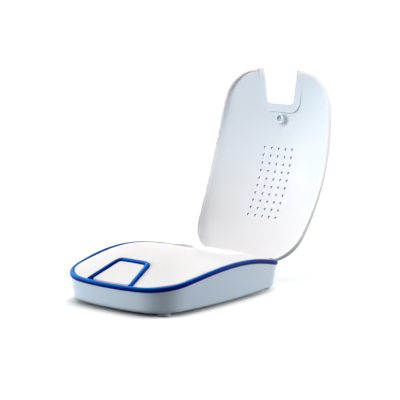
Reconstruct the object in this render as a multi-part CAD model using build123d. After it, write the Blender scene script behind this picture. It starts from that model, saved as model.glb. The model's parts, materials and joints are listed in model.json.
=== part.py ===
from build123d import *
from math import cos, radians, sin, tan
from numpy.polynomial import Polynomial
import os

# A desktop dryer for a pair of hearing aids: a low case with a wave-shaped rim, a blue seal all
# round the rim and round the start key, and a domed lid that leans open on a barrel hinge.
# Millimetres. X is the width, Y the length with the start key at -Y, Z up from the table.
# Everything is drawn about the middle of the case, with the lid shut, and put in place at the end.

# ---- case ----
body_width = 96.3
body_length = 140.6        # measured at the crest of the rim
side_radius = 345.0        # the long sides bow gently
end_radius = 130.0         # so do the two ends
corner_radius = 27.0
draft_angle = 7.0          # the side walls lean in towards the table
stand_height = 2.3         # the feet lift the case by this much
floor_thickness = 2.0
wall_thickness = 2.2
bottom_fillet = 3.0

# ---- side-view lines, each a row of (share of the body length, height above the table) ----
rim_knots = ((-0.488, 16.8), (-0.3, 20.7), (-0.11, 24.7), (0.08, 25.3), (0.28, 21.5), (0.488, 14.4))
dome_knots = ((-0.488, 19.7), (-0.427, 23.8), (-0.31, 31.4), (-0.142, 39.2), (0.035, 41.9),
              (0.213, 38.6), (0.356, 32.0), (0.47, 21.2))
deck_knots = ((-0.488, 16.5), (-0.36, 24.1), (-0.22, 31.3), (-0.08, 33.6), (0.08, 30.0),
              (0.24, 25.7), (0.4, 20.8), (0.488, 15.2))
deck_order = 7             # the deck's middle line has more bends than the other two
deck_arch = 3              # power of the deck's arch: flat on top and steeper at the sides

# ---- seals ----
seal_width = 3.3
seal_height = 3.0
seal_proud = 1.0           # the seal stands this far out of the case's side
seal_round = 1.3
seal_bed = 0.05            # glue under the seal

# ---- start key, which lies flush in the deck, and the walls of its well ----
pod_reach = 28.1           # case's front end to the middle of the key seal behind the key
pod_start = 3.15           # case's front end to where the key seal's sides begin
pod_wall_depth = 7.4       # walls of the key's well below the deck
pod_half_rear = 11.9       # from the middle to the middle of the key seal
pod_half_front = 16.8
pod_corner = 4.0
key_gap = 0.3              # round the key
key_rise = 0.3             # key face above the deck
key_thickness = 2.0
key_skirt = 3.4            # guide skirt under the key
key_wall = 1.4
key_travel = 0.6
lug_setback = 7.8          # lugs on the skirt hold the key in its well, ahead of the pod's rear
lug_length = 4.0
lug_height = 1.2
lug_reach = 1.0
lug_drop = 3.0             # top of a lug below the deck

# ---- lid ----
lid_seat_gap = 0.1         # rim above the seal when shut
lid_inset = 0.65
lid_edge = 1.8             # height of the lid's outer edge
lid_wall = 1.8
lid_rim_width = 1.5
lid_open_angle = 109.5
notch_half_front = 14.0
notch_half_rear = 10.8
notch_setback = 3.1        # deep edge of the notch ahead of the key seal's middle
notch_corner = 3.5
notch_lip = 5.2
vent_columns = 5
vent_rows = 10
vent_pitch_x = 5.78
vent_pitch_y = 5.5
vent_front = -15.5         # front row, from the middle of the case
vent_diameter = 1.9
magnet_setback = 6.7       # magnet's middle behind the key seal's middle
magnet_radius = 2.0
magnet_height = 1.5
magnet_recess = 0.2
boss_radius = 3.3
boss_gap = 0.5             # between the lid's boss and the deck
catch_radius = 3.0
catch_thickness = 1.0
catch_skin = 0.8           # deck over the catch
catch_post_radius = 4.0

# ---- hinge ----
hinge_inboard = 4.3        # axis to the case's end, at the crest
hinge_height = 15.7
barrel_radius = 2.2
barrel_half = 24.0
hinge_pin_radius = 0.8
hinge_pin_length = 13.0
hinge_running = 0.05
ear_thickness = 4.0
hinge_gap = 0.3
stop_gap = 0.3

# ---- deck and drying tray ----
deck_thickness = 2.0
fit_gap = 0.1              # between case parts that sit side by side
flange_thickness = 1.6
chamber_inset = 14.0
chamber_start = 31.0       # behind the magnet's middle, so behind the deck's crown
chamber_land = 20.0        # deck left behind the chamber, to the case's rear end
chamber_corner = 16.0
chamber_draft = 30.0
tray_flange = 2.4
tray_flange_thickness = 1.2
tray_wall = 1.6
tray_floor = 17.5
tray_rib_height = 2.5
tray_rib_width = 1.6
slot_width = 2.2
slot_length = 12.0
slot_pitch = 4.6
slot_land = 17.5           # slots' middle ahead of the chamber's rear
slot_pairs = 4
tray_inner_round = 2.5

# ---- feet and case screws ----
foot_radius = 4.2
foot_recess = 0.8
foot_round = 0.5
foot_side = 15.7           # foot's middle to the case's side, and to its end below
foot_end = 17.55
screw_radius = 1.5
screw_head_radius = 2.8
screw_head_height = 1.6
screw_clearance = 0.2
screw_engagement = 5.0
case_screw_front = (14.5, 30.25)   # to the case's side and to its front end
case_screw_rear = (9.5, 34.25)     # to the case's side and to its rear end
case_post_radius = 3.8
deck_boss_radius = 3.0
case_post_split = 10.8     # the case's posts meet the deck's bosses at this height
case_head_recess = 0.4

# ---- control board ----
board_width = 46.0
board_depth = 17.0
board_thickness = 1.6
board_height = 8.8
board_setback = 11.8       # board's middle ahead of the pod's rear
board_edge = 3.0           # from a board hole to the board's edges
board_post_radius = 2.4
board_screw_radius = 1.0
board_head_radius = 2.0
board_head_height = 1.2
switch_size = 6.0
switch_height = 4.0
plunger_radius = 1.7
plunger_stand = 2.0        # plunger above the switch before it is pressed
plunger_gap = 0.06
plunger_depth = 0.9
stem_radius = 2.2
led_size = (3.2, 2.8, 1.9)
led_place = (-12.0, -4.0)  # from the middle of the board
chip_size = (7.0, 5.0, 1.5)
chip_place = (11.0, 0.0)
plug_size = (10.0, 4.5, 5.5)
plug_place = (-12.0, 4.0)
sensor_size = (12.0, 2.6, 2.4)
sensor_side = 13.0         # lid sensor's middle beside the catch

# ---- heater ----
heater_width = 48.0
heater_depth = 18.0
heater_thickness = 1.5
heater_start = 20.5        # heater's middle behind the chamber's front
film_thickness = 0.4
cutoff_size = (16.0, 6.5, 3.2)
peg_radius = 1.2
peg_head_radius = 1.9
peg_head_height = 0.7
peg_gap = 0.1
peg_inset = 3.0            # from a peg to the plate's edges

# ---- fan ----
fan_size = 40.0
fan_thickness = 7.0
fan_ahead = 10.5           # fan's middle ahead of the chamber's front
fan_bore = 18.4
fan_hub = 9.5
fan_blades = 7
fan_tip_gap = 0.6
fan_screw_pitch = 32.0
fan_post_height = 1.0
fan_corner = 3.0
fan_strut_width = 2.6
fan_strut_height = 1.2
fan_blade_thickness = 0.9
fan_blade_twist = 38.0
fan_hub_gap = 0.5          # between the turning hub and what is fixed
bearing_radius = 3.0
shaft_radius = 1.0
shaft_running = 0.05
intake_radius = 17.0
intake_slots = 7

# ---- power inlet ----
inlet_width = 9.0
inlet_height = 6.4
inlet_depth = 11.0
inlet_bore = 1.75
inlet_pin = 0.55
inlet_nose_radius = 2.9
inlet_gap = 0.1            # round the inlet's nose in the case wall
inlet_bore_depth = 9.0

# ---- sizes that follow ----
crest = max(height for _, height in rim_knots)
half_length = body_length / 2
half_width = body_width / 2
floor_top = stand_height + floor_thickness
seal_half = seal_height / 2
lid_seat = seal_half + lid_seat_gap               # lid rim above the middle of the seal
seal_seat = -seal_half - seal_bed                 # what carries the seal, from its middle
seal_inner = seal_width - seal_proud              # inner side of the seal from the case's side
deck_inset = seal_inner + fit_gap
hinge_y = half_length - hinge_inboard
pod_rear = pod_reach - half_length
pod_front = pod_start - half_length
lug_y = pod_rear - lug_setback
notch_rear = pod_rear - notch_setback
magnet_y = pod_rear + magnet_setback
board_middle = pod_rear - board_setback
chamber_front = magnet_y + chamber_start
chamber_rear = half_length - chamber_land
heater_middle = chamber_front + heater_start
slot_middle = chamber_rear - slot_land
fan_middle = chamber_front - fan_ahead
block_top = max(height for _, height in dome_knots) + 10
reach = half_length + 4                           # side-view lines are drawn this far
wide = half_width + 15
over = 1.0                                        # cuts run this far past the face they open
line_points = 25
arch_points = 13
stations = [reach * (2 * i / (line_points - 1) - 1) for i in range(line_points)]
arch_stations = [wide * (2 * i / (arch_points - 1) - 1) for i in range(arch_points)]


# ---- lines and blocks ----
def side_line(knots, order=5):
    """A smooth side-view line through the knots, as a function of y."""
    places = [share * body_length for share, _ in knots]
    return Polynomial.fit(places, [height for _, height in knots], order)


rim_line = side_line(rim_knots)
dome_line = side_line(dome_knots)
deck_line = side_line(deck_knots, deck_order)


def drawn(line, lift):
    """A side-view line as a curve from end to end, raised by the lift."""
    return Spline([(0, y, line(y) + lift) for y in stations])


def slab(line, low, high):
    """The space between two copies of a side-view line, right across the case."""
    top = drawn(line, high)
    bottom = drawn(line, low)
    ends = [Line(top @ i, bottom @ i) for i in (0, 1)]
    return extrude(make_face([top, bottom, *ends]), wide, dir=(1, 0, 0), both=True)


def under(line, lift):
    """Everything below a side-view line."""
    top = drawn(line, lift)
    corners = Polyline([top @ 1, (0, reach, -over), (0, -reach, -over), top @ 0])
    return extrude(make_face([top, corners]), wide, dir=(1, 0, 0), both=True)


def outline(inset):
    """The planform of the case at its crest, moved inwards."""
    side = Circle(side_radius - inset)
    end = Circle(end_radius - inset)
    side_offset = side_radius - half_width
    end_offset = end_radius - half_length
    shape = Pos(-side_offset, 0) * side & Pos(side_offset, 0) * side
    shape = shape & (Pos(0, -end_offset) * end) & (Pos(0, end_offset) * end)
    return fillet(shape.vertices(), corner_radius - inset)


def lean(height):
    """How far the drafted side stands inwards of the crest's planform at a height."""
    return (crest - height) * tan(radians(draft_angle))


def hull(inset, low=stand_height, high=block_top):
    """A block with the drafted side of the case, moved inwards, between two heights."""
    sections = [Pos(0, 0, z) * outline(inset + lean(z)) for z in (low, high)]
    return loft(sections, ruled=True)


def arched(middle_line, edge_lift, half_span, power, drop):
    """What lies under an arch across the case that springs from the rim's line."""
    rows = []
    for y in stations:
        edge = rim_line(y) + edge_lift
        rise = middle_line(y) - edge
        rows.append([Vector(x, y, edge - drop + rise * (1 - abs(x / half_span) ** power))
                     for x in arch_stations])
    return extrude(Face.make_surface_from_array_of_points(rows), block_top, dir=(0, 0, -1))


def under_dome(drop):
    """What lies under the lid's outer face, lowered."""
    return arched(dome_line, lid_seat + lid_edge, half_width, 2, drop)


def under_deck(drop):
    """What lies under the deck's face, lowered."""
    return arched(deck_line, 0, half_width - deck_inset, deck_arch, drop)


def post(x, y, radius, low, high):
    return Pos(x, y, low) * Cylinder(radius, high - low, align=(Align.CENTER, Align.CENTER, Align.MIN))


def block(x, y, low, width, depth, height):
    return Pos(x, y, low) * Box(width, depth, height, align=(Align.CENTER, Align.CENTER, Align.MIN))


def bar(y, z, radius, start, end):
    """A round bar along the width."""
    middle = (start + end) / 2
    return Pos(middle, y, z) * Rot(0, 90, 0) * Cylinder(radius, end - start)


def u_outline(front, rear, half_front, half_rear, corner):
    """A tongue that narrows towards its rounded rear, open to the front past the case."""
    slope = (half_front - half_rear) / (rear - front)
    start = -reach - 5
    wide_end = half_front + slope * (front - start)
    points = [(-wide_end, start), (wide_end, start), (half_rear, rear), (-half_rear, rear)]
    shape = make_face(Polyline(*points, close=True))
    rear_corners = shape.vertices().sort_by(Axis.Y)[-2:]
    return fillet(rear_corners, corner)


def pod_outline(grow):
    """The line of the key seal, moved outwards."""
    return u_outline(pod_front, pod_rear + grow, pod_half_front + grow, pod_half_rear + grow,
                     pod_corner + grow)


def notch_outline(grow):
    return u_outline(pod_front, notch_rear + grow, notch_half_front + grow, notch_half_rear + grow,
                     notch_corner + grow)


def column(face, low=0.0, high=block_top):
    """A plan shape drawn up between two heights."""
    return extrude(Pos(0, 0, low) * face, high - low)


def hinge_notch(radius, half):
    """What the lid's barrel needs in the case: a round trough that is open above and behind."""
    trough = bar(hinge_y, hinge_height, radius, -half, half)
    above = Pos(0, hinge_y - radius, hinge_height) * Box(
        2 * half, 4 * radius + hinge_inboard, block_top, align=(Align.CENTER, Align.MIN, Align.MIN))
    return trough + above


# ---- case parts ----
skirt_width = deck_thickness
trough_radius = barrel_radius + hinge_gap
ear_start = barrel_half + hinge_gap
ear_end = ear_start + ear_thickness
hinge_cut = ear_end + hinge_gap                   # half width of the lid's cut-out for the hinge
front_screws = [(side * (half_width - case_screw_front[0]), case_screw_front[1] - half_length)
                for side in (-1, 1)]
rear_screws = [(side * (half_width - case_screw_rear[0]), half_length - case_screw_rear[1])
               for side in (-1, 1)]
case_screw_places = front_screws + rear_screws
fan_screw_places = [(side * fan_screw_pitch / 2, fan_middle + end * fan_screw_pitch / 2)
                    for side in (-1, 1) for end in (-1, 1)]
board_screw_places = [(side * (board_width / 2 - board_edge),
                       board_middle + end * (board_depth / 2 - board_edge))
                      for side in (-1, 1) for end in (-1, 1)]
foot_x = half_width - foot_side
foot_y = half_length - foot_end
foot_places = {"front_left": (-foot_x, -foot_y), "front_right": (foot_x, -foot_y),
               "rear_left": (-foot_x, foot_y), "rear_right": (foot_x, foot_y)}
fan_bottom = floor_top + fan_post_height
inlet_height_middle = floor_top + inlet_height / 2
inlet_face = half_length - lean(inlet_height_middle)    # outer face of the rear wall there
screw_top = case_post_split + screw_engagement


def hinge_ear(side):
    """One of the two ears that hold the hinge pins, standing on the case's floor."""
    start, end = sorted((side * ear_start, side * ear_end))
    foot = Pos((start + end) / 2, hinge_y, floor_top) * Box(
        ear_thickness, 2 * barrel_radius, hinge_height - floor_top,
        align=(Align.CENTER, Align.CENTER, Align.MIN))
    knuckle = bar(hinge_y, hinge_height, barrel_radius, start, end)
    return (foot & hull(0, high=hinge_height)) + knuckle


def base_housing():
    shell = hull(0)
    shell = fillet(shell.faces().sort_by(Axis.Z)[0].edges(), bottom_fillet)
    # the rear wall rises to the lid's heel between the ears, as its stop
    heel_fall = (half_length - lean(hinge_height) - hinge_y) * tan(radians(lid_open_angle - 90))
    stop_height = hinge_height - heel_fall - stop_gap
    stop = Pos(0, hinge_y, 0) * Box(
        2 * ear_end, 4 * hinge_inboard, 2 * stop_height, align=(Align.CENTER, Align.MIN, Align.CENTER))
    shell -= slab(rim_line, seal_seat, block_top) - stop
    shell -= hull(wall_thickness, floor_top, block_top + over)
    shell -= hinge_notch(trough_radius, ear_end)
    for side in (-1, 1):
        shell += hinge_ear(side)
        start, end = sorted((side * ear_start, side * (ear_end + over)))
        shell -= bar(hinge_y, hinge_height, hinge_pin_radius, start, end)
    for x, y in case_screw_places:
        shell += post(x, y, case_post_radius, stand_height + floor_thickness / 2, case_post_split)
        shell -= post(x, y, screw_radius + screw_clearance, 0, case_post_split)
        shell -= post(x, y, screw_head_radius + screw_clearance, 0,
                      stand_height + case_head_recess + screw_head_height)
    for x, y in board_screw_places:
        shell += post(x, y, board_post_radius, floor_top, board_height)
        shell -= post(x, y, board_screw_radius, floor_top, board_height)
    for x, y in fan_screw_places:
        shell += post(x, y, deck_boss_radius, floor_top, fan_bottom)
        shell -= post(x, y, screw_radius, stand_height + floor_thickness / 2, fan_bottom)
    for x, y in foot_places.values():
        shell -= post(x, y, foot_radius + fit_gap, 0, stand_height + foot_recess)
    shell -= intake_openings()
    shell -= Pos(0, inlet_face, inlet_height_middle) * Rot(90, 0, 0) * Cylinder(
        inlet_nose_radius + inlet_gap, 4 * wall_thickness)
    return shell


def intake_openings():
    """Slots through the floor under the fan, cut off along a circle."""
    slots = Sketch()
    for i in range(intake_slots):
        x = (i - (intake_slots - 1) / 2) * slot_pitch
        reach_y = (intake_radius ** 2 - x ** 2) ** 0.5
        slots += Pos(x, fan_middle) * Rot(0, 0, 90) * SlotOverall(2 * reach_y, slot_width)
    return column(slots, 0, floor_top + over)


def perimeter_seal():
    ring = hull(-seal_proud, floor_top) - hull(seal_inner, floor_top - over, block_top + over)
    ring = ring & slab(rim_line, -seal_half, seal_half)
    ring = fillet(ring.edges(), seal_round)
    gap = Pos(0, hinge_y - 2 * trough_radius, 0) * Box(
        2 * hinge_cut, 8 * trough_radius, 2 * block_top, align=(Align.CENTER, Align.MIN, Align.CENTER))
    return ring - gap


def deck_height(x, y):
    """Height of the deck's face at a place."""
    edge = rim_line(y)
    return edge + (deck_line(y) - edge) * (1 - abs(x / (half_width - deck_inset)) ** deck_arch)


def key_seal():
    band = column(pod_outline(seal_width / 2)) - column(pod_outline(-seal_width / 2))
    band = (band & under_deck(-seal_half) & hull(-seal_width)) - under_deck(seal_half)
    long_edges = [edge for edge in band.edges() if edge.length > seal_half and edge.center().Y > -half_length]
    return fillet(long_edges, seal_round) & hull(seal_inner)


def chamber_outline(inset):
    """The plan shape of the drying chamber, moved inwards."""
    width = 2 * (half_width - chamber_inset - inset)
    length = chamber_rear - chamber_front - 2 * inset
    shape = RectangleRounded(width, length, chamber_corner - inset)
    return Pos(0, (chamber_front + chamber_rear) / 2) * shape


deck_top = max(height for _, height in deck_knots)
key_well_inset = deck_inset + key_wall


def key_well():
    return column(pod_outline(-seal_width / 2)) & hull(key_well_inset, floor_top)


def catch_top():
    """Height of the catch, a steel plate just under the deck's face."""
    return deck_line(magnet_y - catch_radius) - catch_skin


def deck():
    low_rim = under(rim_line, seal_seat - flange_thickness)
    body = hull(deck_inset) & under_deck(0)
    body -= hull(deck_inset + skirt_width) & under_deck(deck_thickness)
    body -= low_rim
    flange = hull(wall_thickness + fit_gap) & under(rim_line, seal_seat)
    body += flange - hull(deck_inset + skirt_width / 2) - low_rim
    # the key's well has walls as wide as the key seal, which lies in a groove on top of them
    groove = column(pod_outline(seal_width / 2)) & hull(seal_inner)
    walls = column(pod_outline(seal_width / 2)) & hull(deck_inset)
    body += (walls & under_deck(deck_thickness / 2)) - under_deck(pod_wall_depth)
    body -= groove - under_deck(-seal_seat)
    body -= key_well()
    for side in (-1, 1):
        body -= key_lug(side, fit_gap, key_travel)
    catch_bottom = catch_top() - catch_thickness
    body += post(0, magnet_y, catch_post_radius, catch_bottom, block_top) & under_deck(deck_thickness / 2)
    body -= post(0, magnet_y, catch_radius, 0, catch_top())
    for x, y in case_screw_places:
        body += post(x, y, deck_boss_radius, case_post_split, block_top) & under_deck(deck_thickness / 2)
        body -= post(x, y, screw_radius, case_post_split, screw_top)
    body -= column(chamber_outline(0))
    body -= column(chamber_outline(-tray_flange)) - under_deck(tray_flange_thickness)
    body -= Pos(0, hinge_y - trough_radius, 0) * Box(
        2 * hinge_cut, 4 * hinge_inboard, 2 * block_top, align=(Align.CENTER, Align.MIN, Align.CENTER))
    return body


def chamber_block(inset, low, high):
    """A tapered block of the chamber's shape."""
    def section(height):
        grow = inset + (deck_top - height) * tan(radians(chamber_draft))
        return Pos(0, 0, height) * chamber_outline(grow)
    return loft([section(low), section(high)], ruled=True)


def drying_tray():
    under_floor = tray_floor - tray_wall
    bowl = chamber_block(2 * fit_gap, under_floor, deck_top + over)
    flange = column(chamber_outline(fit_gap - tray_flange)) - under_deck(tray_flange_thickness)
    hollow = chamber_block(2 * fit_gap + tray_wall, tray_floor, deck_top + 2 * over)
    hollow = fillet(hollow.faces().sort_by(Axis.Z)[0].edges(), tray_inner_round)
    tray = (bowl + flange) & under_deck(0)
    tray -= hollow
    rib_length = chamber_rear - chamber_front
    rib = block(0, (chamber_front + chamber_rear) / 2, tray_floor - tray_wall / 2, tray_rib_width,
                rib_length, tray_wall / 2 + tray_rib_height)
    tray += rib & bowl
    for side in (-1, 1):
        for i in range(slot_pairs):
            slot = Pos(side * slot_pitch * (i + 1), slot_middle) * Rot(0, 0, 90) * SlotOverall(
                slot_length, slot_width)
            tray -= column(slot, under_floor - over, tray_floor + over)
    stack = heater_thickness + film_thickness
    for x, y in peg_places:
        tray += post(x, y, peg_radius, under_floor - stack, under_floor + tray_wall / 2)
        tray += post(x, y, peg_head_radius, under_floor - stack - peg_head_height, under_floor - stack)
    return tray


peg_places = [(side * (heater_width / 2 - peg_inset), heater_middle + end * (heater_depth / 2 - peg_inset))
              for side in (-1, 1) for end in (-1, 1)]
heater_top = tray_floor - tray_wall


def heater_sheet(top, thickness):
    sheet = block(0, heater_middle, top - thickness, heater_width, heater_depth, thickness)
    for x, y in peg_places:
        sheet -= post(x, y, peg_radius + peg_gap, top - thickness, top)
    return sheet


def heater_plate():
    return heater_sheet(heater_top, heater_thickness)


def heater_film():
    return heater_sheet(heater_top - heater_thickness, film_thickness)


def thermal_cutoff():
    length, depth, height = cutoff_size
    bottom = heater_top - heater_thickness - film_thickness - height
    return block(0, heater_middle, bottom, length, depth, height)


# ---- start key ----
plunger_top = board_height + board_thickness + switch_height + plunger_stand


def key_lug(side, gap=0.0, travel=0.0):
    """A lug on the key's skirt, or with a gap and a travel the window that it slides in."""
    share = (pod_rear - lug_y) / (pod_rear - pod_front)
    wall = pod_half_rear + (pod_half_front - pod_half_rear) * share - seal_width / 2
    top = deck_line(lug_y - lug_length / 2) - lug_drop
    inner = wall - key_gap - key_wall
    outer = wall + lug_reach + gap
    low = top - lug_height - gap - travel
    return block(side * (inner + outer) / 2, lug_y, low, outer - inner, lug_length + 2 * gap,
                 top + gap - low)


def start_key():
    edge = -seal_width / 2 - key_gap
    limit = hull(key_well_inset + key_gap, floor_top)
    under_cap = under_deck(key_thickness - key_rise)
    key = (column(pod_outline(edge)) & limit & under_deck(-key_rise)) - under_cap
    skirt = column(pod_outline(edge)) & limit
    skirt -= column(pod_outline(edge - key_wall)) & hull(key_well_inset + key_gap + key_wall, floor_top - over)
    skirt = skirt & under_deck(key_thickness / 2 - key_rise)
    key += skirt - under_deck(key_thickness + key_skirt - key_rise)
    key += post(0, board_middle, stem_radius, plunger_top, block_top) & under_deck(key_thickness / 2 - key_rise)
    for side in (-1, 1):
        key += key_lug(side)
    return key


def start_switch():
    top = board_height + board_thickness
    body = block(0, board_middle, top, switch_size, switch_size, switch_height)
    depth = plunger_depth + key_travel + plunger_gap
    return body - post(0, board_middle, plunger_radius + plunger_gap, top + switch_height - depth,
                       top + switch_height)


def switch_plunger():
    return post(0, board_middle, plunger_radius, plunger_top - plunger_stand - plunger_depth, plunger_top)


# ---- control board ----
def circuit_board():
    board = block(0, board_middle, board_height, board_width, board_depth, board_thickness)
    for x, y in board_screw_places:
        board -= post(x, y, board_screw_radius + screw_clearance, board_height,
                      board_height + board_thickness)
    return board


def on_board(place, size):
    x, y = place
    width, depth, height = size
    return block(x, board_middle + y, board_height + board_thickness, width, depth, height)


def lid_sensor():
    width, depth, height = sensor_size
    top = deck_height(sensor_side, magnet_y) - deck_thickness
    return block(sensor_side, magnet_y, top - height, width, depth, 2 * height) & under_deck(deck_thickness)


def screw(x, y, radius, head_radius, head_height, seat, length, down=True):
    """A screw whose head rests on the seat and whose shank runs down, or up."""
    if down:
        return post(x, y, head_radius, seat, seat + head_height) + post(x, y, radius, seat - length, seat)
    return post(x, y, head_radius, seat - head_height, seat) + post(x, y, radius, seat, seat + length)


def board_screws():
    seat = board_height + board_thickness
    return [screw(x, y, board_screw_radius, board_head_radius, board_head_height, seat,
                  seat - floor_top) for x, y in board_screw_places]


def fan_screws():
    seat = fan_bottom + fan_thickness
    length = seat - stand_height - floor_thickness / 2
    return [screw(x, y, screw_radius, screw_head_radius, board_head_height, seat, length)
            for x, y in fan_screw_places]


def case_screws():
    seat = stand_height + case_head_recess + screw_head_height
    return [screw(x, y, screw_radius, screw_head_radius, screw_head_height, seat, screw_top - seat,
                  down=False) for x, y in case_screw_places]


def foot(x, y):
    pad = post(x, y, foot_radius, 0, stand_height + foot_recess)
    return fillet(pad.edges().sort_by(Axis.Z)[0], foot_round)


# ---- fan ----
def fan_frame():
    outline_ = RectangleRounded(fan_size, fan_size, fan_corner)
    frame = Pos(0, fan_middle) * column(outline_, fan_bottom, fan_bottom + fan_thickness)
    frame -= post(0, fan_middle, fan_bore, fan_bottom, fan_bottom + fan_thickness)
    for i in range(3):
        strut = Pos(0, fan_middle, fan_bottom) * Rot(0, 0, 120 * i + 30) * Box(
            fan_bore + 1, fan_strut_width, fan_strut_height, align=(Align.MIN, Align.CENTER, Align.MIN))
        frame += strut
    frame += post(0, fan_middle, fan_hub, fan_bottom, fan_bottom + fan_strut_height)
    frame += post(0, fan_middle, bearing_radius, fan_bottom, fan_bottom + fan_thickness - 3 * fan_hub_gap)
    frame -= post(0, fan_middle, shaft_radius + shaft_running, fan_bottom + fan_strut_height / 2,
                  fan_bottom + fan_thickness)
    for x, y in fan_screw_places:
        frame -= post(x, y, screw_radius + screw_clearance, fan_bottom, fan_bottom + fan_thickness)
    return frame


def fan_impeller():
    low = fan_bottom + fan_strut_height + fan_hub_gap
    high = fan_bottom + fan_thickness - fan_hub_gap / 2
    hub = post(0, fan_middle, fan_hub, low, high)
    hub -= post(0, fan_middle, fan_hub - 1, low, high - fan_hub_gap)
    shaft = post(0, fan_middle, shaft_radius, fan_bottom + fan_strut_height, high)
    tip = post(0, fan_middle, fan_bore - fan_tip_gap, low, high)
    core = post(0, fan_middle, fan_hub - 1, low, high)
    blades = hub
    for i in range(fan_blades):
        blade = Box(fan_bore, fan_blade_thickness, 3 * (high - low), align=(Align.MIN, Align.CENTER, Align.CENTER))
        blade = Pos(0, fan_middle, (low + high) / 2) * Rot(0, 0, 360 * i / fan_blades) * Rot(
            fan_blade_twist, 0, 0) * blade
        blades += (blade & tip) - core
    return blades + shaft


# ---- power inlet ----
def power_inlet():
    back = half_length - lean(floor_top) - wall_thickness - fit_gap
    body = block(0, back - inlet_depth / 2, floor_top, inlet_width, inlet_depth, inlet_height)
    nose_end = inlet_face - wall_thickness / 4
    nose = Pos(0, back, inlet_height_middle) * Rot(-90, 0, 0) * Cylinder(
        inlet_nose_radius, nose_end - back, align=(Align.CENTER, Align.CENTER, Align.MIN))
    bore = Pos(0, nose_end, inlet_height_middle) * Rot(90, 0, 0) * Cylinder(
        inlet_bore, inlet_bore_depth, align=(Align.CENTER, Align.CENTER, Align.MIN))
    pin = Pos(0, nose_end - inlet_bore_depth, inlet_height_middle) * Rot(-90, 0, 0) * Cylinder(
        inlet_pin, inlet_bore_depth - 1, align=(Align.CENTER, Align.CENTER, Align.MIN))
    return body + nose - bore + pin


# ---- lid, drawn shut ----
def vent_stations():
    """Rows of vents at an even pitch along the arch of the lid."""
    slope = dome_line.deriv()
    y = vent_front
    rows = []
    for _ in range(vent_rows):
        rows.append(y)
        y += vent_pitch_y / (1 + slope(y) ** 2) ** 0.5
    return rows


def lid_shell():
    low = floor_top
    outer = (hull(lid_inset, low) - under(rim_line, lid_seat)) & under_dome(0)
    hollow = hull(lid_inset + lid_rim_width, low - over, block_top + over) & under_dome(lid_wall)
    shell = outer - hollow
    # the lip round the notch comes down to the key seal
    lip = column(notch_outline(notch_lip)) & hull(lid_inset, low) & under_dome(lid_wall / 2)
    lip -= under_deck(-lid_seat)
    lip -= under(rim_line, lid_seat)
    shell += lip
    shell -= column(notch_outline(0))
    # clear of the key seal all along, down to the front rim
    shell -= column(pod_outline(seal_width / 2 + fit_gap)) & under_deck(-lid_seat)
    # the boss for the magnet, whose face runs along the deck
    shell += (post(0, magnet_y, boss_radius, 0, block_top) & under_dome(lid_wall / 2)) - under_deck(-boss_gap)
    shell -= post(0, magnet_y, magnet_radius, 0, magnet_low() + magnet_height)
    columns = [(i - (vent_columns - 1) / 2) * vent_pitch_x for i in range(vent_columns)]
    shell -= [post(x, y, vent_diameter / 2, crest, block_top) for x in columns for y in vent_stations()]
    # nothing of the shell stands behind the hinge axis over the hinge's width
    shell -= Pos(0, hinge_y, 0) * Box(
        2 * hinge_cut, 4 * hinge_inboard, 2 * block_top, align=(Align.CENTER, Align.MIN, Align.CENTER))
    web = Pos(0, hinge_y - barrel_radius, hinge_height) * Box(
        2 * hinge_cut, barrel_radius, block_top, align=(Align.CENTER, Align.MIN, Align.MIN))
    shell += web & under_dome(lid_wall / 2)
    for side in (-1, 1):
        start, end = sorted((side * barrel_half, side * (hinge_cut + hinge_gap)))
        shell -= bar(hinge_y, hinge_height, trough_radius, start, end)
    shell += bar(hinge_y, hinge_height, barrel_radius, -barrel_half, barrel_half)
    pin_end = ear_end - hinge_pin_length
    for side in (-1, 1):
        start, end = sorted((side * (pin_end - hinge_gap), side * (barrel_half + over)))
        shell -= bar(hinge_y, hinge_height, hinge_pin_radius + hinge_running, start, end)
    return shell


def magnet_low():
    """Underside of the magnet, just inside the boss's sloping face."""
    return deck_line(magnet_y + magnet_radius) + boss_gap + magnet_recess


def lid_magnet():
    return post(0, magnet_y, magnet_radius, magnet_low(), magnet_low() + magnet_height)


def catch_plate():
    return post(0, magnet_y, catch_radius, catch_top() - catch_thickness, catch_top())


def hinge_pin(side):
    start, end = sorted((side * (ear_end - hinge_pin_length), side * ear_end))
    return bar(hinge_y, hinge_height, hinge_pin_radius, start, end)


# ---- the whole dryer, with the lid open on its stop ----
def opened(shape):
    axis = Location((0, hinge_y, hinge_height))
    return axis * Rot(-lid_open_angle, 0, 0) * axis.inverse() * shape


case_parts = {
    "base_housing": base_housing(),
    "deck": deck(),
    "drying_tray": drying_tray(),
    "perimeter_seal": perimeter_seal(),
    "key_seal": key_seal(),
    "circuit_board": circuit_board(),
    "start_switch": start_switch(),
    "switch_plunger": switch_plunger(),
    "start_key": start_key(),
    "status_led": on_board(led_place, led_size),
    "control_chip": on_board(chip_place, chip_size),
    "board_plug": on_board(plug_place, plug_size),
    "board_screws": board_screws(),
    "lid_sensor": lid_sensor(),
    "catch_plate": catch_plate(),
    "heater_plate": heater_plate(),
    "heater_film": heater_film(),
    "thermal_cutoff": thermal_cutoff(),
    "fan_frame": fan_frame(),
    "fan_impeller": fan_impeller(),
    "fan_screws": fan_screws(),
    "power_inlet": power_inlet(),
    "case_screws": case_screws(),
    "hinge_pin_left": hinge_pin(-1),
    "hinge_pin_right": hinge_pin(1),
}
for name, (x, y) in foot_places.items():
    case_parts["foot_" + name] = foot(x, y)
lid_parts = {
    "lid_shell": opened(lid_shell()),
    "lid_magnet": opened(lid_magnet()),
}
parts = {**case_parts, **lid_parts}

# the origin is on the table, under the middle of the opened dryer
whole = Compound(children=[Compound(children=shape) if isinstance(shape, list) else Compound(shape.wrapped)
                           for shape in parts.values()])
box = whole.bounding_box()
shift = Pos(-(box.min.X + box.max.X) / 2, -(box.min.Y + box.max.Y) / 2, -box.min.Z)

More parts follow.
